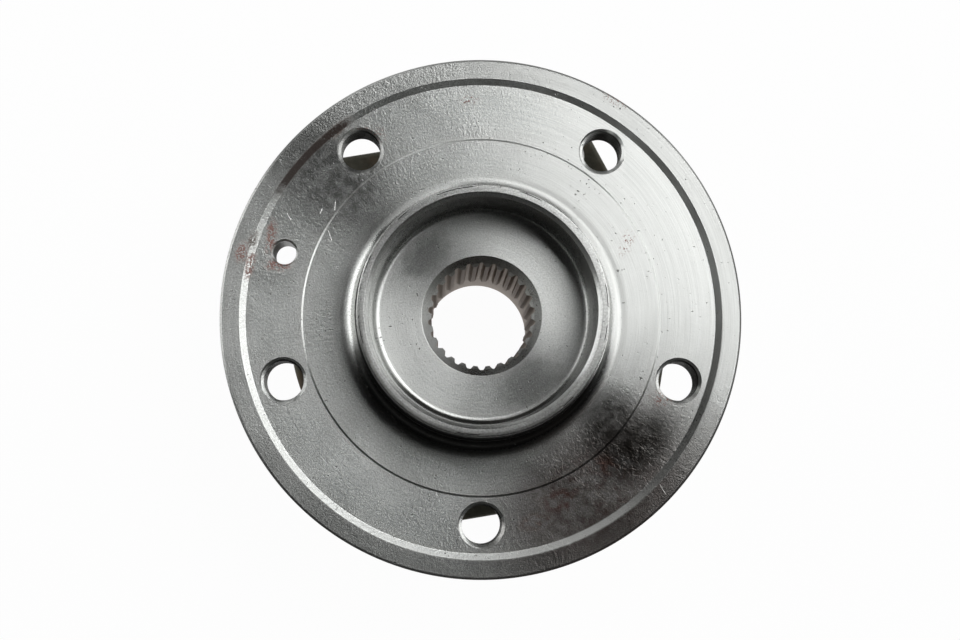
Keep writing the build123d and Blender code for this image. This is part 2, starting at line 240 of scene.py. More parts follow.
# The room round the bench is dark. The camera sees a white backdrop in its place, of which the
# metal shows a faint strip just above the bench.
room_grey = 0.012
backdrop_white, backdrop_in_metal = 0.965, 0.08
room = bpy.data.worlds.new("room")
room.use_nodes = True
bpy.context.scene.world = room
backdrop = Nodes(room.node_tree)
upward = backdrop.split(backdrop.node("ShaderNodeTexCoord", output="Generated"))[2]
in_metal = backdrop_in_metal * backdrop.node("ShaderNodeLightPath", output="Is Glossy Ray")
strength = room_grey + in_metal * backdrop.ease(upward, 0.20, 0.06)
for ray in ("Is Camera Ray", "Is Transmission Ray"):
    strength = strength + backdrop_white * backdrop.node("ShaderNodeLightPath", output=ray)
room_light = room.node_tree.nodes["Background"].inputs
room_light["Color"].default_value = (1, 1, 1, 1)
room.node_tree.links.new(strength.socket, room_light["Strength"])

# The hub: one steel forging, turned all over, with the wheel flange, the spigot that centres the
# wheel, the outboard raceway and the shaft whose end is rolled over the inner ring.
flange_radius = 68.0
flange_back = -12.5
seat_inner_radius = 62.9
bevel_inner_radius = 61.3
band_depth = 0.8
disc_radius = 46.4
disc_depth = 0.4
step_slope = 0.5
front_edge, back_edge = 0.6, 1.2
pilot_radius = 32.55
pilot_height = 10.5
pilot_step = 0.5
spigot_height = 19.0
spigot_tip_radius = 31.7
rim_inner_radius = 29.8
rim_chamfer = 1.0
cup_floor_radius = 27.99
cup_floor = 2.5
bore_mouth_radius = 15.6
spline_tip_radius = 13.0
spline_root_radius = 14.0
spline_end = -36.0
spline_run_out = 1.5
relief_radius = 14.5
relief_chamfer = 1.6
hub_end = -63.3
collar_radius = 25.4
ring_back = -59.6
inner_ring_bore_radius = 20.5
inner_ring_chamfer = 1.6
inner_ring_front = -36.55
outboard_row = -28.85
inboard_row = -47.25
pitch_radius = 31.5
ball_radius = 6.35
ball_play = 0.06
groove_conformity = 1.04
contact_angle = 38.0
low_shoulder = 25.61
high_shoulder = 28.135
outboard_seal_floor = -21.0
seal_land_radius = 30.505
flange_root = -14.0
flange_root_radius = 42.0
flange_root_rise = 1.5
turning_steps = 288
raceway_steps = 14
same_place = 1e-3 * mm


def polar(radius, angle):
    return radius * cos(radians(angle)), radius * sin(radians(angle))


def draw(points):
    """Draws a closed loop of edges through points given in millimetres, left in edit mode."""
    points = [Vector(point) * mm for point in points]
    bpy.ops.object.select_all(action="DESELECT")
    bpy.ops.mesh.primitive_plane_add(size=mm, location=points[0])
    bpy.ops.object.transform_apply(location=True)
    drawn = bpy.context.object
    bpy.ops.object.mode_set(mode="EDIT")
    bpy.ops.mesh.merge(type="CENTER")
    for here, there in zip(points, points[1:]):
        bpy.ops.mesh.extrude_vertices_move(TRANSFORM_OT_translate={"value": there - here})
    ends = points[0], points[-1]
    select_points(drawn, lambda place: any((place - end).length < same_place for end in ends))
    bpy.ops.mesh.edge_face_add()
    return drawn


def select_points(piece, wanted):
    """Selects the vertices whose places, in metres, are wanted, and nothing else."""
    bpy.ops.mesh.select_all(action="DESELECT")
    mesh = bmesh.from_edit_mesh(piece.data)
    for vertex in mesh.verts:
        vertex.select = wanted(vertex.co)
    mesh.select_flush_mode()
    bmesh.update_edit_mesh(piece.data)


def extrude(outline, height):
    """Draws a closed outline and raises it by a height into a solid."""
    solid = draw(outline)
    bpy.ops.mesh.select_all(action="SELECT")
    bpy.ops.mesh.edge_face_add()
    bpy.ops.mesh.extrude_region_move(TRANSFORM_OT_translate={"value": (0, 0, height * mm)})
    tidy(solid)
    return solid


def turn(corners, steps=turning_steps):
    """Turns a closed section once round Z.

    A corner is a radius and a height, and a rounding where it isn't sharp.
    """
    points = [Vector((radius, 0, height)) for radius, height, *_ in corners]
    piece = draw(points)
    for number, (_, _, *rounding) in enumerate(corners):
        for radius in rounding:
            corner = points[number]
            before = (points[number - 1] - corner).normalized()
            after = (points[(number + 1) % len(points)] - corner).normalized()
            reach = radius / tan(before.angle(after) / 2)
            select_points(piece, lambda place: (place - corner * mm).length < same_place)
            segments = max(3, round(sqrt(radius) * 6))
            bpy.ops.mesh.bevel(offset=reach * mm, segments=segments, affect="VERTICES")
    bpy.ops.mesh.select_all(action="SELECT")
    bpy.ops.mesh.spin(
        steps=steps, angle=2 * pi, center=(0, 0, 0), axis=(0, 0, 1), use_auto_merge=True
    )
    tidy(piece)
    return piece


def tidy(piece):
    """Merges what lies together, turns the faces outwards and leaves edit mode."""
    bpy.ops.mesh.select_all(action="SELECT")
    bpy.ops.mesh.remove_doubles(threshold=same_place)
    bpy.ops.mesh.dissolve_degenerate(threshold=same_place / 10)
    bpy.ops.mesh.normals_make_consistent(inside=False)
    bpy.ops.object.mode_set(mode="OBJECT")


def repeat(piece, count):
    """Copies the faces of a piece round Z until there are count of them, evenly spaced."""
    bpy.context.view_layer.objects.active = piece
    bpy.ops.object.mode_set(mode="EDIT")
    bpy.ops.mesh.select_all(action="SELECT")
    last = 2 * pi * ((count - 1) / count)
    bpy.ops.mesh.spin(steps=count - 1, angle=last, dupli=True, center=(0, 0, 0), axis=(0, 0, 1))
    bpy.ops.object.mode_set(mode="OBJECT")


def shift(piece, x, y):
    """Moves the mesh of a piece sideways, in millimetres."""
    piece.data.transform(Matrix.Translation(Vector((x, y, 0)) * mm))


def pick(piece):
    """Selects a piece alone and makes it the active one."""
    bpy.ops.object.select_all(action="DESELECT")
    piece.select_set(True)
    bpy.context.view_layer.objects.active = piece


def combine(piece, tool, operation="DIFFERENCE"):
    """Cuts a piece with a tool, or joins the tool to it, and takes the tool away."""
    pick(piece)
    cut = piece.modifiers.new("cut", "BOOLEAN")
    cut.solver, cut.operation, cut.object = "EXACT", operation, tool
    bpy.ops.object.modifier_apply(modifier=cut.name)
    bpy.data.objects.remove(tool)
    bpy.ops.object.mode_set(mode="EDIT")
    tidy(piece)


def drill(radius, sink, top, bottom, steps=64):
    """A drill on Z with a 45 degree countersink at both mouths."""
    outside = 1.0
    outline = [
        (0, top + outside),
        (radius + sink, top + outside),
        (radius + sink, top),
        (radius, top - sink),
        (radius, bottom + sink),
        (radius + sink, bottom),
        (radius + sink, bottom - outside),
        (0, bottom - outside),
    ]
    return turn(outline, steps=steps)


def raceway(row, outward, side, low, high):
    """Corners along the ball groove of a row, from its low shoulder to its high one.

    outward is 1 in the outer ring and -1 on the hub; side is 1 on the outboard row.
    """
    groove = ball_radius * groove_conformity
    shift_in = groove - ball_radius - ball_play
    centre = pitch_radius - outward * shift_in * cos(radians(contact_angle))
    height = row + outward * side * shift_in * sin(radians(contact_angle))
    start = acos((low - centre) / groove * outward)
    end = acos((high - centre) / groove * outward)
    corners = []
    for step in range(raceway_steps + 1):
        angle = -start + (end + start) * step / raceway_steps
        along = outward * side * groove * sin(angle)
        corners.append((centre + outward * groove * cos(angle), height + along))
    return corners


def finish_piece(piece, name, finish, body, slot, *nodes):
    """Shades a piece, gives it its finish and hands it to the body that it moves with."""
    piece.name = name
    pick(piece)
    bpy.ops.object.shade_smooth_by_angle(angle=radians(28))
    weights = piece.modifiers.new("weights", "WEIGHTED_NORMAL")
    weights.keep_sharp = True
    bpy.ops.object.modifier_apply(modifier=weights.name)
    piece.data.materials.clear()
    piece.data.materials.append(finish.material)
    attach(piece, body)
    if nodes:
        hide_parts(*nodes)


hub = turn([
    (flange_radius - front_edge, 0, 0.2),
    (seat_inner_radius, 0, 0.15),
    (bevel_inner_radius, -band_depth, 0.35),
    (disc_radius + step_slope, -band_depth, 0.15),
    (disc_radius, -disc_depth, 0.12),
    (pilot_radius, -disc_depth, 4.3),
    (pilot_radius, pilot_height, 0.15),
    (pilot_radius - pilot_step, pilot_height, 0.2),
    (spigot_tip_radius, spigot_height, 0.5),
    (rim_inner_radius, spigot_height, 0.12),
    (rim_inner_radius - rim_chamfer, spigot_height - rim_chamfer, 0.25),
    (cup_floor_radius, cup_floor, 1.8),
    (bore_mouth_radius, cup_floor, 0.15),
    (spline_tip_radius, cup_floor - bore_mouth_radius + spline_tip_radius),
    (spline_tip_radius, spline_end),
    (relief_radius, spline_end - spline_run_out),
    (relief_radius, hub_end + relief_chamfer),
    (relief_radius + relief_chamfer, hub_end),
    (collar_radius, hub_end, 1.5),
    (collar_radius, ring_back),
    (inner_ring_bore_radius + inner_ring_chamfer, ring_back),
    (inner_ring_bore_radius, ring_back + inner_ring_chamfer),
    (inner_ring_bore_radius, inner_ring_front),
    (low_shoulder, inner_ring_front),
    *raceway(outboard_row, -1, 1, low_shoulder, high_shoulder),
    (high_shoulder, outboard_seal_floor),
    (seal_land_radius, outboard_seal_floor),
    (seal_land_radius, flange_root, 5.0),
    (flange_root_radius, flange_root),
    (flange_root_radius + flange_root_rise, flange_back, 3.0),
    (flange_radius - back_edge, flange_back, 0.3),
    (flange_radius, flange_back + back_edge, 0.3),
    (flange_radius, -front_edge, 0.2),
])

# The spline inside the hub takes the drive shaft. It is broached, with 26 involute teeth.
spline_teeth = 26
spline_angle = 80.5
spline_pressure = radians(30)
spline_profile_shift = 0.45
spline_space = pi / 2 + 2 * spline_profile_shift * tan(spline_pressure)
broach_start, broach_stop = spline_end - 2, cup_floor + 1


def flank(radius):
    """Half the angle of a tooth space at a radius."""
    reach = acos(spline_tip_radius * cos(spline_pressure) / radius)
    at_tip = spline_space / (2 * spline_tip_radius) + tan(spline_pressure) - spline_pressure
    return at_tip - tan(reach) + reach


half_space = [(radius, flank(radius)) for radius in (12.5, 12.9, 13.3, 13.65, 13.9)]
half_space += [(spline_root_radius, flank(spline_root_radius) * share) for share in (0.85, 0.4)]
tooth_space = half_space + [(radius, -angle) for radius, angle in reversed(half_space)]
broach_outline = [
    (*polar(radius, spline_angle + degrees(angle)), broach_start) for radius, angle in tooth_space
]
broach = extrude(broach_outline, broach_stop - broach_start)
repeat(broach, spline_teeth)
combine(hub, broach)

# Holes in the wheel flange: five tapped ones for the wheel bolts and a plain one that locates
# the brake disc. All are drilled and countersunk from both sides.
bolt_circle = 54.0
bolt_count = 5
bolt_angle = 44.5
thread_major = 6.0
thread_minor = 5.1
thread_pitch = 1.5
countersunk_radius = 6.1
thread_sink = countersunk_radius - thread_major
locating_angle = 152.5
locating_radius = 3.05
locating_sink = 0.5

wheel_drill = drill(thread_major, thread_sink, -band_depth, flange_back)
shift(wheel_drill, *polar(bolt_circle, bolt_angle))
repeat(wheel_drill, bolt_count)
combine(hub, wheel_drill)
pin_drill = drill(locating_radius, locating_sink, -band_depth, flange_back)
shift(pin_drill, *polar(bolt_circle, locating_angle))
combine(hub, pin_drill)

# Bare turned steel under a thin film of oil. The tool left fine rings and, where it chattered,
# short waves across them. Storage has added stains, specks of rust and a few scratches. The
# colour also carries painted shade and painted light in many places, marked below.
steel = Finish("turned_hub_steel", Metallic=1.0, Anisotropic=0.75, Anisotropic_Rotation=0.25)
bright_steel, dull_steel = (0.66, 0.672, 0.655, 1), (0.50, 0.51, 0.495, 1)
worn_bright, worn_grey = (0.90, 0.90, 0.88, 1), (0.23, 0.23, 0.225, 1)
# The oil black and oil brown also serve as the colour of painted shade.
oil_and_shade_black, oil_and_shade_brown = (0.02, 0.018, 0.015, 1), (0.055, 0.032, 0.025, 1)
rust_red, rust_brown = (0.22, 0.065, 0.04, 1), (0.075, 0.04, 0.024, 1)
rust_dark = (0.024, 0.013, 0.009, 1)
# The pale phosphate is the painted light in the spline's grooves.
phosphate, painted_lit_phosphate = (0.40, 0.35, 0.312, 1), (0.60, 0.54, 0.48, 1)
wheel_side = steel.ease(steel.z, -2.2, -1.6)
on_cup_floor = steel.ease(steel.radius, 29, 27)
ragged = steel.noise(steel.place, 2.6, detail=4, roughness=0.65)
fine_ragged = steel.noise(steel.place, 0.55, detail=3, roughness=0.6)


def facing(angle):
    """1 on the side of the wheel face at this angle, in degrees, and -1 on the side across."""
    return (steel.x * cos(radians(angle)) + steel.y * sin(radians(angle))) / steel.radius


def away_from(radius, angle, long, wide, lean):
    """Distance from a place on the wheel face, 1 on the ellipse with these half axes."""
    middle_x, middle_y = polar(radius, angle)
    off_x, off_y = steel.x - middle_x, steel.y - middle_y
    along = off_x * cos(radians(lean)) + off_y * sin(radians(lean))
    aside = off_y * cos(radians(lean)) - off_x * sin(radians(lean))
    return (along * along / long**2 + aside * aside / wide**2) ** 0.5


def stain(radius, angle, long, wide, lean=0.0, edge=1.2):
    """A mark on the wheel face, 1 in its middle and 0 outside its ragged edge."""
    away = away_from(radius, angle, long, wide, lean)
    return steel.ease(away + (ragged - 0.5) * edge, 1.30, 0.35) * wheel_side


def scratch(radius, angle, long, lean):
    """A straight scratch through a place on the wheel face."""
    return steel.ease(away_from(radius, angle, long, scratch_width, lean), 1.0, 0.4) * wheel_side


def either(*marks):
    """Where any of several marks is."""
    clear = 1.0
    for mark in marks:
        clear = clear * (1 - mark)
    return 1 - clear


feed_marks = steel.noise(steel.turned(0.30, 0.30), 1.0, detail=2)
wide_marks = steel.noise(steel.turned(1.8, 0.6), 1.0, detail=3)
chatter = steel.noise(steel.turned(1.15, 0.017), 1.0, detail=2, warp=0.8)
chatter_share = steel.ease(steel.noise(steel.place, 17, detail=2), 0.36, 0.60)
chatter_share = chatter_share * wheel_side * steel.ease(steel.radius, 38, 40)
grit = steel.noise(steel.place, 0.42, detail=2, roughness=0.7)
grit_share = steel.ease(facing(18), 0.3, 0.92, 1.30, 0.15)
grit_share = grit_share + on_cup_floor * (1.05 - grit_share)
pit_clouds = steel.ease(steel.noise(steel.place, 9, detail=2), 0.42, 0.68)
pit_share = either(pit_clouds, stain(43.0, 328.0, 5.5, 3.0, lean=58))
pits = steel.ease(steel.noise(steel.place, 0.8, detail=1), 0.70, 0.75) * pit_share
scratch_width = 0.13
scratches = either(
    scratch(48.1, 133.2, 1.7, 75), scratch(44.8, 142.3, 2.2, 100), scratch(50.2, 137.0, 1.2, 60),
    scratch(64.8, 306.9, 1.9, 112), scratch(48.6, 262.5, 1.5, 98), scratch(56.6, 143.0, 1.4, 110),
)

# Oil has dried to a lumpy patch on the face, and to two wide films, dark and brown, that also carry
# painted shade where the turned face goes dark on two opposite sides. Round them are specks of
# rust, and the groove beside the seat is rusty for a short way.
oil_film = steel.noise(steel.place, 13, detail=4, roughness=0.55)
oil_lumps = steel.ease(steel.noise(steel.place, 1.3, detail=1), 0.52, 0.66)
oil_patch = either(
    stain(52.5, 311.5, 12.5, 7.5, lean=30, edge=0.7),
    stain(43.0, 311.0, 10.5, 7.5, lean=60, edge=0.7),
)
groove = steel.between(steel.radius, (61.0, 61.5), (62.9, 63.4)) * wheel_side
# Oil with painted shade: a wide brown film at 294 degrees and a dark one at 127.5 degrees.
brown_oil_and_painted_shade = stain(54.0, 294.0, 34, 22, lean=24, edge=0.5) * (1 - groove * 0.7)
dark_oil_and_painted_shade = stain(53.0, 127.5, 24, 15, lean=127.5, edge=0.7)
rusty_arc = steel.ease(facing(127) + (ragged - 0.5) * 0.03, cos(radians(15)), cos(radians(9)))
groove_rust = groove * rusty_arc * steel.ease(ragged * 0.6 + fine_ragged * 0.4, 0.25, 0.44)
specks = steel.ease(fine_ragged, 0.45, 0.52)
few_specks = steel.ease(fine_ragged, 0.54, 0.60)
brown_specks = specks * either(
    stain(62.8, 152.0, 2.5, 1.2, lean=64), stain(62.0, 118.0, 5.0, 1.6, lean=28),
)
red_specks = specks * either(
    stain(58.6, 149.8, 5.0, 1.6, lean=75), stain(54.5, 156.0, 4.0, 2.0),
    stain(64.6, 155.5, 3.0, 1.8, lean=66), stain(61.6, 158.0, 4.0, 1.2, lean=66),
)
red_specks = either(red_specks, few_specks * either(
    stain(42.7, 17.5, 4.0, 1.6, lean=60), stain(51.9, 327.4, 4.0, 2.6, lean=20),
    stain(56.0, 113.5, 6.0, 3.0), stain(57.4, 84.0, 3.0, 1.5),
    stain(67.3, 49.0, 4.0, 1.4, lean=-41),
))
red_clouds = either(
    stain(51.7, 283.6, 6.0, 3.5), stain(50.5, 301.0, 5.0, 3.0), stain(55.0, 275.0, 5.0, 2.5),
)
rust = either(groove_rust, brown_specks, red_specks)

# The rim of the spigot has been knocked: its face is grey and pitted, its edges are chipped, and
# a thin line on it is worn bright.
rim_face = steel.ease(steel.z, spigot_height - 0.7, spigot_height - 0.2)
rim_middle = (spigot_tip_radius + rim_inner_radius) / 2
from_chips = steel.radius - rim_middle - 0.40 + (ragged - 0.5) * 0.35
from_shine = from_chips - 0.5
chips = steel.ease(from_chips * from_chips, 0.016, 0.003) * rim_face
chips = chips * steel.ease(steel.noise(steel.turned(9.0, 0.2), 1.0, detail=3), 0.53, 0.58)
rim_shine = steel.ease(from_shine * from_shine, 0.020, 0.004) * rim_face
rim_shine = rim_shine * steel.ease(steel.noise(steel.turned(5.0, 0.3), 1.0, detail=3), 0.40, 0.52)
rim_grit = steel.noise(steel.place, 0.5, detail=2, roughness=0.7)
rim_grit = rim_face * steel.ease(rim_grit, 0.44, 0.56)
# The outer half of the rim face, which takes painted shade further on.
painted_shade_rim_outside = rim_face * steel.ease(steel.radius, rim_middle - 0.35, rim_middle + 0.15)

# The spline and the bore keep the brown phosphate coat that was put on after machining. The roots
# of the teeth are painted paler than the tips, as painted light in the grooves.
behind_mouth = steel.radius - steel.z - (bore_mouth_radius - cup_floor)
in_bore = steel.ease(behind_mouth, 0.03, 0.10) * steel.ease(steel.z, 1.2, 1.0)
in_bore = in_bore * steel.ease(steel.radius, relief_radius + 0.5, relief_radius + 0.3)
phosphate_grain = steel.noise(steel.place, 0.40, detail=3, roughness=0.65)
# Painted light: paler towards the roots of the teeth and darker past the end of the spline; the
# grain on top is the coat's own.
phosphate_grain_and_painted_light = steel.ease(steel.radius, 13.45, 13.9)
phosphate_grain_and_painted_light = phosphate_grain_and_painted_light * steel.ease(steel.z, spline_end - 1, spline_end, -0.5, 0.9)
phosphate_grain_and_painted_light = phosphate_grain_and_painted_light + 0.1 + (phosphate_grain - 0.5) * 2.4

# Painted shade darkens the walls of the drilled holes, the cup's wall and floor, the mouth of the
# bore, the wall and fillet under the spigot, the groove, the seat, the spigot's rim and the
# flange's outer edge, mostly on one side.
round_angle = steel.maths("ARCTAN2", steel.y, steel.x) - radians(bolt_angle)
to_hole = steel.maths("WRAP", round_angle, pi / bolt_count, -pi / bolt_count)
beside_hole = steel.radius * steel.maths("SINE", to_hole)
beyond_hole = steel.radius * steel.maths("COSINE", to_hole) - bolt_circle
from_hole = (beside_hole * beside_hole + beyond_hole * beyond_hole) ** 0.5
# Painted shade on the walls of the drilled holes, below their countersinks.
painted_shade_in_holes = either(
    steel.ease(from_hole, countersunk_radius + 0.3, countersunk_radius + 0.1),
    steel.ease(steel.from_axis(*polar(bolt_circle, locating_angle)), 3.7, 3.5),
)
painted_shade_in_holes = painted_shade_in_holes * steel.ease(steel.z, -band_depth - 0.9, -band_depth - 1.5)
# The side of the face at 258 degrees, where most of the painted shade below is laid.
shade_side = facing(258)
cup_wall = steel.between(steel.radius, (26.6, 27.8), (30.0, 30.2))
cup_wall = cup_wall * steel.ease(steel.z, spigot_height - 0.9, spigot_height - 1.6)
# Painted shade on the cup's wall: darker all round, and more on the side at 258 degrees.
painted_shade_cup_side = steel.ease(shade_side, 0.45, 0.85)
# Painted shade on the mouth of the bore, lighter towards the side at 190 degrees.
painted_shade_mouth = steel.ease(steel.radius, bore_mouth_radius + 0.1, bore_mouth_radius - 0.1)
painted_shade_mouth = painted_shade_mouth * steel.ease(facing(190), 0.5, 0.9, 0.38, 0.0)
# Painted shade inside the cup and in the mouth of the bore.
painted_shade_inside = either(cup_wall * 0.45, cup_wall * painted_shade_cup_side * 0.9, painted_shade_mouth)
painted_shade_inside = painted_shade_inside * steel.ease(steel.z, 0.4, 0.9)
# Painted shade: the spigot's wall a little darker all round, and the fillet under it dark on the
# side at 258 degrees.
spigot_wall = steel.between(steel.radius, (31.6, 32.0), (33.8, 35.6)) * wheel_side
painted_shade_under_spigot = steel.between(steel.radius, (31.6, 32.0), (35.0, 38.0)) * wheel_side
painted_shade_under_spigot = painted_shade_under_spigot * steel.ease(shade_side, 0.1, 0.6)
# Painted shade that tones down the fillet's highlight on the side at 25 degrees.
painted_shade_fillet = steel.between(steel.radius, (34.6, 35.4), (37.4, 38.6)) * wheel_side
painted_shade_fillet = painted_shade_fillet * steel.ease(facing(25), 0.5, 0.95, 0.0, 0.28)
# Painted shade in the groove on the side at 325 degrees.
painted_shade_groove = groove * steel.ease(facing(325), 0.85, 0.97, 0.0, 0.5)
# Painted shade on the seat, on the side at 258 degrees and more faintly on the side at 40.
painted_shade_seat_low = steel.ease(shade_side, 0.2, 0.8, 0.0, 0.4)
painted_shade_seat_right = steel.ease(facing(40), 0.3, 0.8, 0.0, 0.15)
painted_shade_seat = steel.ease(steel.radius, 62.7, 63.3) * wheel_side
painted_shade_seat = painted_shade_seat * either(painted_shade_seat_low, painted_shade_seat_right)
# Painted shade on the flange's outer edge, on the side at 290 degrees.
painted_shade_outer_edge = steel.ease(steel.radius, flange_radius - 0.65, flange_radius - 0.35) * wheel_side
painted_shade_outer_edge = painted_shade_outer_edge * steel.ease(facing(290), -0.3, 0.3)
# Painted shade on the cup floor, on the sides at 124 and 296 degrees.
painted_shade_cup_floor = either(
    stain(21.0, 124.0, 8.0, 5.0, lean=34), stain(21.5, 296.0, 11.0, 6.0, lean=26),
)
# Painted shade on the rim face on the side at 258 degrees, and on its outer half on the side at
# 245.
painted_shade_rim = rim_face * steel.ease(shade_side, 0.2, 0.9, 0.0, 0.2)
painted_shade_rim_outside = painted_shade_rim_outside * steel.ease(facing(245), -0.1, 0.6)
# All the painted shade, laid on in oil black.
painted_shade_places = either(
    painted_shade_cup_floor * 0.42, painted_shade_under_spigot * 0.8, painted_shade_inside, spigot_wall * 0.2, painted_shade_in_holes * 0.8,
    painted_shade_outer_edge * 0.7, painted_shade_seat, painted_shade_fillet, painted_shade_groove, painted_shade_rim, painted_shade_rim_outside * 0.5,
)

tone = 0.5 + (grit - 0.5) * 3.6 * grit_share + (feed_marks - 0.5) * 1.1 + (oil_film - 0.5) * 0.7
# Painted light: the cup floor is paler on the side at 205 degrees.
tone = tone + on_cup_floor * steel.ease(facing(205), 0.6, 0.95, 0.0, 0.5)
# Painted light: the groove is paler on the side at 260 degrees.
tone = tone + groove * steel.ease(facing(260), 0.5, 0.95, 0.0, 1.0)
colour = steel.blend(tone, dull_steel, bright_steel)
for share, coat in (
    (either(rim_face * 0.06, rim_grit * 0.38), worn_grey),
    (rim_shine * 0.8, worn_bright),
    # Painted shade from the places above, then the two films that are oil with painted shade.
    (painted_shade_places, oil_and_shade_black),
    (dark_oil_and_painted_shade * steel.ease(ragged, 0.3, 0.65, 0.36, 0.72), oil_and_shade_black),
    (brown_oil_and_painted_shade * steel.ease(ragged, 0.3, 0.7, 0.62, 0.90), oil_and_shade_brown),
    (red_clouds * steel.ease(ragged, 0.4, 0.6, 0.0, 0.26), rust_red),
    (oil_patch * steel.ease(ragged, 0.3, 0.65, 0.40, 0.90), oil_and_shade_black),
    (red_specks * 0.8, rust_red),
    (brown_specks * 0.8, rust_brown),
    (groove_rust * 0.95, rust_dark),
    (either(pits * 0.8, chips), oil_and_shade_black),
    (scratches * 0.7, worn_bright),
    # The phosphate coat, paler in the grooves as painted light.
    (in_bore, steel.blend(phosphate_grain_and_painted_light, phosphate, painted_lit_phosphate)),
):
    colour = steel.blend(share, colour, coat)
steel.set("Base Color", colour)

not_metal = either(groove_rust, brown_specks * 0.8, red_specks * 0.6, in_bore * 0.12)
steel.set("Metallic", 1 - not_metal)
roughness = 0.33 + (oil_film - 0.5) * 0.16 + (grit - 0.5) * 0.12 - spigot_wall * 0.12
roughness = roughness + in_bore * 0.20 + rust * 0.25
roughness = roughness - either(oil_patch * 0.3, scratches, rim_shine, painted_shade_inside) * 0.12
steel.set("Roughness", roughness)

feed_height, wide_height, grit_height, chatter_height = 0.014, 0.015, 0.036, 0.045
pit_depth, scratch_depth, chip_depth, rim_grit_depth = 0.07, 0.04, 0.08, 0.006
film_height, lump_height = 0.015, 0.007
smooth_walls = either(spigot_wall, cup_wall) * 0.85
grit_relief = (grit - 0.5) * grit_share * (1 - oil_patch * 0.75) * grit_height
relief = (feed_marks * feed_height + wide_marks * wide_height + grit_relief) * (1 - smooth_walls)
relief = relief + chatter * chatter_share * grit_share * chatter_height
relief = relief - pits * pit_depth - scratches * scratch_depth - chips * chip_depth
relief = relief - rim_grit * rim_grit_depth
relief = relief + dark_oil_and_painted_shade * (fine_ragged - 0.5) * film_height
relief = relief + oil_patch * oil_lumps * lump_height
steel.bump(relief)
finish_piece(hub, "turned_hub", steel, "hub", "hub_steel", "hub_flange")


def thread(top, bottom, name, places, finish, body, slot):
    """Ridges of the tapped holes at these places, cut back by the countersinks at both mouths."""
    in_wall = thread_major + 0.15
    first = bottom - thread_pitch
    ridge = draw([
        (in_wall, 0, first + 0.04 * thread_pitch),
        (thread_major, 0, first + 0.06 * thread_pitch),
        (thread_minor, 0, first + 0.375 * thread_pitch),
        (thread_minor, 0, first + 0.625 * thread_pitch),
        (thread_major, 0, first + 0.94 * thread_pitch),
        (in_wall, 0, first + 0.96 * thread_pitch),
    ])
    bpy.ops.object.mode_set(mode="OBJECT")
    sweep = ridge.modifiers.new("sweep", "SCREW")
    sweep.steps = sweep.render_steps = 48
    sweep.screw_offset = thread_pitch * mm
    sweep.iterations = int((top - bottom) / thread_pitch) + 2
    bpy.ops.object.modifier_apply(modifier=sweep.name)
    bpy.ops.object.mode_set(mode="EDIT")
    bpy.ops.mesh.select_all(action="DESELECT")
    bpy.ops.mesh.select_non_manifold()
    bpy.ops.mesh.fill_holes(sides=0)
    tidy(ridge)
    play = 0.02
    bore, mouth, outside = thread_minor - 0.1, countersunk_radius - play, countersunk_radius + 0.2
    sleeve = turn([
        (bore, top - 1.1),
        (mouth, top - play),
        (outside, top - play),
        (outside, bottom + play),
        (mouth, bottom + play),
        (bore, bottom + 1.1),
    ], steps=96)
    combine(ridge, sleeve, "INTERSECT")
    for number, (x, y) in enumerate(places, 1):
        copy = bpy.data.objects.new(name, ridge.data.copy())
        bpy.context.scene.collection.objects.link(copy)
        shift(copy, x, y)
        finish_piece(copy, f"{name}_{number}", finish, body, slot)
    bpy.data.objects.remove(ridge)


wheel_bolt_places = [
    polar(bolt_circle, bolt_angle + 360 / bolt_count * number) for number in range(bolt_count)
]
thread(
    -band_depth, flange_back, "wheel_bolt_thread", wheel_bolt_places, steel, "hub", "hub_steel"
)

# The inner ring carries the inboard raceway. It is pressed on the hub's shaft and held there by
# the rolled collar. Bearing steel, hardened and ground.
race_steel = Finish(
    "ground_bearing_steel", Metallic=1.0, Anisotropic=0.5, Anisotropic_Rotation=0.25
)
dull_race, bright_race = (0.50, 0.505, 0.50, 1), (0.66, 0.665, 0.66, 1)
grinding = race_steel.noise(race_steel.turned(0.18, 0.25), 1.0, detail=2)
race_film = race_steel.noise(race_steel.place, 6, detail=3)
race_tone = 0.5 + (grinding - 0.5) * 1.2 + (race_film - 0.5) * 0.8
race_steel.set("Base Color", race_steel.blend(race_tone, dull_race, bright_race))
race_steel.set("Roughness", 0.19 + (race_film - 0.5) * 0.12 + (grinding - 0.5) * 0.05)
race_steel.bump(grinding, 0.004)
inner = turn([
    (inner_ring_bore_radius, inner_ring_front),
    (low_shoulder, inner_ring_front, 0.3),
    *raceway(inboard_row, -1, -1, low_shoulder, high_shoulder),
    (high_shoulder, ring_back, 0.3),
    (inner_ring_bore_radius + inner_ring_chamfer, ring_back, 0.2),
    (inner_ring_bore_radius, ring_back + inner_ring_chamfer),
], steps=144)
finish_piece(inner, "ground_inner_ring", race_steel, "hub", "race_steel", "inner_ring")

# The outer ring bolts to the knuckle by its four ears and never turns. It is a forging too:
# turned where it seats in the knuckle, and left as forged round the ears.
ear_radius = 9.5
ear_disc_radius = 52.0
ear_top, ear_bottom = -25.0, -38.0
ear_top_round, ear_bottom_round = 1.5, 0.3
inside_ears = -31.0
ear_steps, disc_steps = 16, 25
ear_places = [(30.45, 42.5), (-30.45, 42.5), (-30.45, -42.5), (30.45, -42.5)]
ring_front = -16.5
ring_chamfer = 1.5
ring_body_radius = 43.7
ear_fillet = 2.0
fillet_foot = ring_body_radius + ear_fillet + 0.02
knuckle_pilot_radius = 43.0
seat_groove_radius = 44.2
seat_groove_depth = 0.5
seal_seat_radius = 38.5
inboard_seal_floor = -55.1
outer_low_shoulder = 37.71
outer_high_shoulder = 34.865

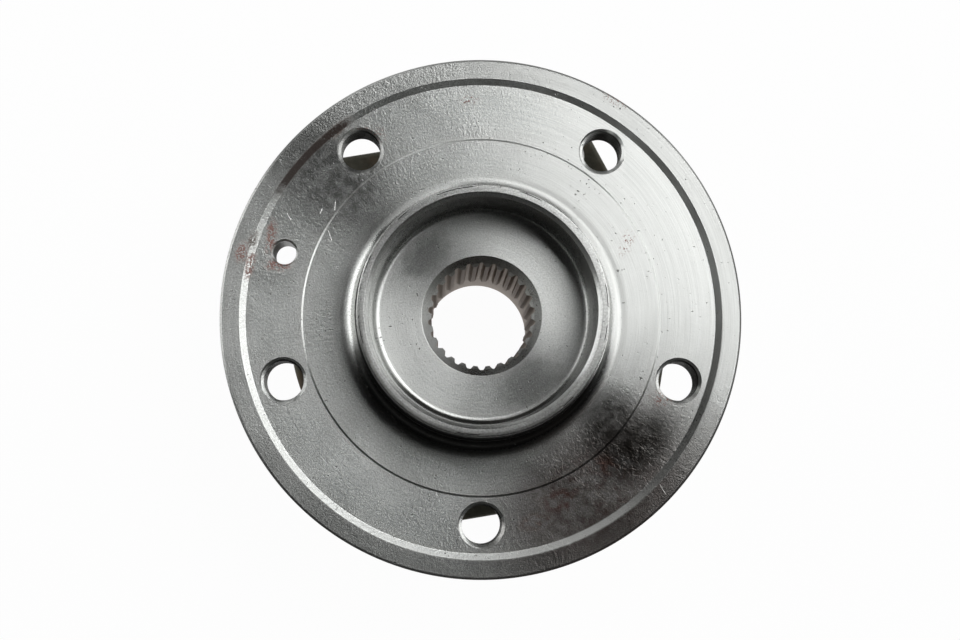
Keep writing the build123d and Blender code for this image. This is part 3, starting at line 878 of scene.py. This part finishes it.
ear_outline = []
for x, y in ear_places:
    middle = degrees(atan2(y, x))
    half = degrees(acos((ear_disc_radius - ear_radius) / sqrt(x * x + y * y)))
    for step in range(ear_steps + 1):
        from_x, from_y = polar(ear_radius, middle - half + 2 * half * step / ear_steps)
        ear_outline.append((x + from_x, y + from_y, ear_bottom))
    if x * y < 0:
        side = middle + half
        reach = 2 * (180 * (x < 0) + 360 * (x > 0) - side % 360)
        for step in range(1, disc_steps):
            place = polar(ear_disc_radius, side + reach * step / disc_steps)
            ear_outline.append((*place, ear_bottom))
ears = extrude(ear_outline, ear_top - ear_bottom)
for height, width in ((ear_top, ear_top_round), (ear_bottom, ear_bottom_round)):
    bpy.ops.object.mode_set(mode="EDIT")
    select_points(ears, lambda place: abs(place.z - height * mm) < same_place)
    bpy.ops.mesh.bevel(offset=width * mm, segments=round(2 + 3 * width), affect="EDGES")
    bpy.ops.object.mode_set(mode="OBJECT")
combine(ears, turn([
    (0, ear_bottom - 1),
    (seat_groove_radius, ear_bottom - 1),
    (seat_groove_radius, ear_bottom + seat_groove_depth),
    (0, ear_bottom + seat_groove_depth),
]))
ring = turn([
    (0, ring_front),
    (ring_body_radius - ring_chamfer, ring_front, 0.2),
    (ring_body_radius, ring_front - ring_chamfer, 0.3),
    (ring_body_radius, ear_top - 0.01, ear_fillet),
    (fillet_foot, ear_top - 0.01),
    (fillet_foot, inside_ears),
    (knuckle_pilot_radius, inside_ears),
    (knuckle_pilot_radius, ring_back + ring_chamfer, 0.3),
    (knuckle_pilot_radius - ring_chamfer, ring_back, 0.3),
    (0, ring_back),
])
combine(ring, ears, "UNION")
combine(ring, turn([
    (0, ring_front + 1),
    (seal_seat_radius, ring_front + 1),
    (seal_seat_radius, outboard_seal_floor),
    (outer_low_shoulder, outboard_seal_floor),
    *raceway(outboard_row, 1, 1, outer_low_shoulder, outer_high_shoulder),
    *raceway(inboard_row, 1, -1, outer_low_shoulder, outer_high_shoulder)[::-1],
    (outer_low_shoulder, inboard_seal_floor),
    (seal_seat_radius, inboard_seal_floor),
    (seal_seat_radius, ring_back - 1),
    (0, ring_back - 1),
], steps=144))
ring_steel = Finish("turned_ring_steel", Metallic=1.0, Anisotropic=0.5, Anisotropic_Rotation=0.25)
dull_turned, bright_turned = (0.46, 0.46, 0.45, 1), (0.60, 0.605, 0.59, 1)
dark_scale, pale_scale = (0.035, 0.033, 0.024, 1), (0.13, 0.125, 0.095, 1)
brown_scale = (0.14, 0.085, 0.05, 1)
ring_marks = ring_steel.noise(ring_steel.turned(0.35, 0.35), 1.0, detail=2)
scale_lumps = ring_steel.noise(ring_steel.place, 1.5, detail=4, roughness=0.65)
scale_clouds = ring_steel.noise(ring_steel.place, 7, detail=3)
skin = ring_steel.ease(ring_steel.radius, seat_groove_radius + 0.3, seat_groove_radius + 0.9)
skin = skin * ring_steel.ease(ring_steel.z, ear_bottom + 0.3, ear_bottom + 0.8)
for x, y in ear_places:
    ear_drill = drill(thread_major, thread_sink, ear_top, ear_bottom, steps=48)
    shift(ear_drill, x, y)
    combine(ring, ear_drill)
    from_bolt = ring_steel.from_axis(x, y)
    skin = skin * ring_steel.ease(from_bolt, countersunk_radius, countersunk_radius + 0.25)
ring_colour = ring_steel.blend(0.5 + (ring_marks - 0.5) * 1.2, dull_turned, bright_turned)
skin_colour = ring_steel.blend(scale_lumps, dark_scale, pale_scale)
brown_share = ring_steel.ease(scale_clouds, 0.5, 0.75) * 0.5
skin_colour = ring_steel.blend(brown_share, skin_colour, brown_scale)
ring_steel.set("Base Color", ring_steel.blend(skin, ring_colour, skin_colour))
ring_roughness = 0.34 + (scale_clouds - 0.5) * 0.12 + skin * (0.12 + scale_lumps * 0.2)
ring_steel.set("Roughness", ring_roughness)
ring_steel.set("Metallic", 1 - skin * 0.55)
ring_steel.bump(ring_marks * 0.012 * (1 - skin) + skin * scale_lumps * 0.12)
finish_piece(
    ring, "turned_outer_ring", ring_steel, "knuckle_side", "outer_ring_steel", "outer_ring"
)
thread(
    ear_top, ear_bottom, "knuckle_bolt_thread", ear_places, ring_steel, "knuckle_side",
    "outer_ring_steel",
)

# Seal cases: pressed steel, driven into the outer ring at both ends.
seal_steel = Finish("pressed_seal_steel", Metallic=1.0, Anisotropic=0.4, Anisotropic_Rotation=0.25)
dull_case, bright_case = (0.34, 0.335, 0.31, 1), (0.55, 0.55, 0.53, 1)
drawing_marks = seal_steel.noise(seal_steel.turned(0.5, 0.4), 1.0, detail=2)
seal_stains = seal_steel.noise(seal_steel.place, 4, detail=4, roughness=0.6)
seal_tone = 0.5 + (drawing_marks - 0.5) + (seal_stains - 0.5) * 1.2
seal_steel.set("Base Color", seal_steel.blend(seal_tone, dull_case, bright_case))
seal_steel.set("Roughness", 0.30 + (seal_stains - 0.5) * 0.22)
seal_steel.bump(drawing_marks * 0.6 + seal_stains * 0.4, 0.012)
seal_gap = 0.15
seal_sheet = 0.8
case_inner_radius = 33.5
for side, mouth, floor, name in (
    (1, ring_front, outboard_seal_floor, "outboard"),
    (-1, ring_back, inboard_seal_floor, "inboard"),
):
    inside = seal_seat_radius - seal_sheet
    case = turn([
        (seal_seat_radius, mouth - side * seal_gap),
        (seal_seat_radius, floor + side * seal_gap, 0.5),
        (case_inner_radius, floor + side * seal_gap),
        (case_inner_radius, floor + side * (seal_gap + seal_sheet)),
        (inside, floor + side * (seal_gap + seal_sheet), 0.3),
        (inside, mouth - side * seal_gap),
    ], steps=144)
    finish_piece(
        case, f"{name}_pressed_case", seal_steel, "knuckle_side", "seal_steel", f"{name}_seal_case"
    )

# Seal lips: nitrile rubber moulded on the cases. The outboard one has three lips, on the
# flange, in the neck and on the land; the inboard one runs on the slinger.
rubber = Finish("seal_rubber")
bloom = rubber.noise(rubber.place, 3.5, detail=4, roughness=0.6)
mould_texture = rubber.noise(rubber.place, 0.4, detail=2)
rubber.set("Base Color", rubber.blend(bloom, (0.010, 0.010, 0.010, 1), (0.038, 0.037, 0.035, 1)))
rubber.set("Roughness", 0.42 + bloom * 0.22)
rubber.bump(mould_texture, 0.012)
web_back, web_top, rubber_top = -20.85, -20.05, -19.15
web_bore, rubber_bore = 33.505, 32.605
case_inside = 37.7
lips = turn([
    (case_inside, web_top),
    (web_bore, web_top),
    (web_bore, web_back),
    (rubber_bore, web_back),
    (rubber_bore, -20.45),
    (30.72, -20.67, 0.1),
    (30.79, -20.33, 0.1),
    (rubber_bore, -19.55, 0.3),
    (32.66, rubber_top, 0.3),
    (31.98, -15.69, 0.12),
    (32.32, -15.6, 0.12),
    (33.6, rubber_top, 0.4),
    (35.2, rubber_top, 0.4),
    (37.34, -14.31, 0.12),
    (37.67, -14.19, 0.12),
    (36.2, rubber_top, 0.4),
    (case_inside, rubber_top),
], steps=144)
finish_piece(
    lips, "outboard_moulded_lips", rubber, "knuckle_side", "seal_rubber", "outboard_seal_lips"
)


def smooth_copy(node, name, finish, body, slot):
    """A merged, smooth-shaded copy of a solid that is right as it is."""
    copy = bpy.data.objects.new(name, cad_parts[node].data.copy())
    bpy.context.scene.collection.objects.link(copy)
    pick(copy)
    bpy.ops.object.mode_set(mode="EDIT")
    bpy.ops.mesh.select_all(action="SELECT")
    bpy.ops.mesh.remove_doubles(threshold=same_place)
    bpy.ops.object.mode_set(mode="OBJECT")
    finish_piece(copy, name, finish, body, slot, node)


smooth_copy("inboard_seal_lips", "inboard_moulded_lips", rubber, "knuckle_side", "seal_rubber")

# Slinger: a stainless ring pressed on the inner ring that closes the bearing from behind, with
# the magnetic ring for the wheel speed sensor bonded to its face.
slinger_radius = 36.9
slinger_face = -59.45
slinger_sheet = 0.6
sleeve_end = -55.25
slinger = turn([
    (high_shoulder, slinger_face, 0.5),
    (slinger_radius, slinger_face),
    (slinger_radius, slinger_face + slinger_sheet),
    (high_shoulder + slinger_sheet, slinger_face + slinger_sheet, 0.2),
    (high_shoulder + slinger_sheet, sleeve_end),
    (high_shoulder, sleeve_end),
], steps=192)
finish_piece(slinger, "pressed_slinger", seal_steel, "hub", "seal_steel", "inboard_slinger")
encoder_bore = 30.5
encoder_thickness = 0.9
encoder_rubber = Finish("magnetic_rubber")
dark_ferrite, pale_ferrite = (0.030, 0.027, 0.024, 1), (0.075, 0.068, 0.062, 1)
ferrite = encoder_rubber.noise(encoder_rubber.place, 0.3, detail=2, roughness=0.7)
pressed_marks = encoder_rubber.noise(encoder_rubber.turned(0.8, 0.5), 1.0, detail=2)
ferrite_tone = 0.5 + (ferrite - 0.5) * 1.4 + (pressed_marks - 0.5) * 0.6
encoder_rubber.set("Base Color", encoder_rubber.blend(ferrite_tone, dark_ferrite, pale_ferrite))
encoder_rubber.set("Roughness", 0.46 + (ferrite - 0.5) * 0.3)
encoder_rubber.bump(ferrite * 0.4 + pressed_marks * 0.6, 0.01)
encoder = turn([
    (encoder_bore, slinger_face),
    (slinger_radius, slinger_face),
    (slinger_radius, slinger_face - encoder_thickness, 0.25),
    (encoder_bore, slinger_face - encoder_thickness, 0.25),
], steps=192)
finish_piece(
    encoder, "speed_sensor_ring", encoder_rubber, "hub", "encoder_rubber", "magnetic_encoder"
)

# Balls and cages: thirteen chromium steel balls a row, each snapped into a moulded nylon cage.
balls_per_row = 13
ball_steel = Finish("polished_ball_steel", Metallic=1.0)
greasy_ball, bright_ball = (0.52, 0.51, 0.48, 1), (0.66, 0.66, 0.65, 1)
grease = ball_steel.noise(ball_steel.place, 3, detail=3)
ball_steel.set("Base Color", ball_steel.blend(grease, greasy_ball, bright_ball))
ball_steel.set("Roughness", 0.05 + ball_steel.ease(grease, 0.45, 0.7) * 0.12)
nylon = Finish("glass_filled_nylon")
dark_nylon, pale_nylon = (0.42, 0.34, 0.20, 1), (0.62, 0.54, 0.38, 1)
glass_strands = nylon.noise(nylon.turned(0.35, 0.05), 1.0, detail=3, roughness=0.65)
nylon.set("Base Color", nylon.blend(glass_strands, dark_nylon, pale_nylon))
nylon.set("Roughness", 0.38 + glass_strands * 0.2)
nylon.bump(glass_strands, 0.01)
for row in ("outboard", "inboard"):
    smooth_copy(f"{row}_cage", f"{row}_snap_cage", nylon, f"{row}_cage", "cage_nylon")
    for number in range(1, balls_per_row + 1):
        ball = f"{row}_ball_{number:02d}"
        polished = f"{row}_polished_ball_{number:02d}"
        smooth_copy(ball, polished, ball_steel, ball, "ball_steel")
